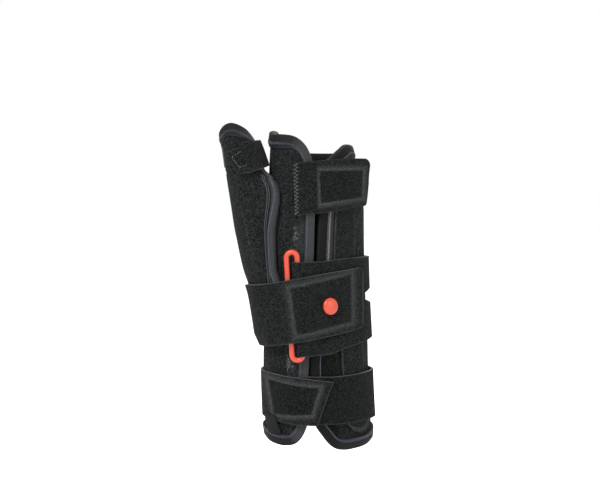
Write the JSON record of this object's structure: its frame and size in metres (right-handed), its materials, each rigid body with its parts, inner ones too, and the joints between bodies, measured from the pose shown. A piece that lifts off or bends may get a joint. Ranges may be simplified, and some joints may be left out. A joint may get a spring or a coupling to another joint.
{
  "type": "thumb spica splint",
  "caption": "Padded wrist and thumb splint: laced-front cloth wrap with a thumb gauntlet, hook straps, a red pull ring and a red button, shown as worn.",
  "frame": {"origin": "on the axis of the forearm, inside the hollow, at the height of the wrist strap", "axes": "+Z along the arm to the fingers, -Y out of the front with the slit, the thumb on the -X side"},
  "size_m": [0.1155, 0.0816, 0.235],
  "materials": {
    "loop_cloth": "fuzzy loop cloth laminated to foam, matte black",
    "pocket_cloth": "fuzzy loop cloth, matte black",
    "binding_tape": "smooth knitted tape, dark grey",
    "strap_cloth": "pressed loop-faced strap, matte black",
    "pale_tape": "woven tape, light grey",
    "label_tape": "plain woven label, black",
    "red_plastic": "moulded, smooth red"
  },
  "bodies": {
    "root": {"wrist_wrap": "loop_cloth", "wrap_binding": "binding_tape", "thumb_gauntlet": "loop_cloth", "thumb_binding": "binding_tape", "thumb_strap": "strap_cloth", "palm_strap": "strap_cloth", "pull_ring": "red_plastic", "ring_strap": "strap_cloth", "ring_keeper": "strap_cloth", "wrist_strap": "strap_cloth", "strap_button": "red_plastic", "forearm_strap": "strap_cloth", "stay_pocket": "pocket_cloth", "seam_tape": "pale_tape", "loop_label": "label_tape"}
  },
  "joints": []
}
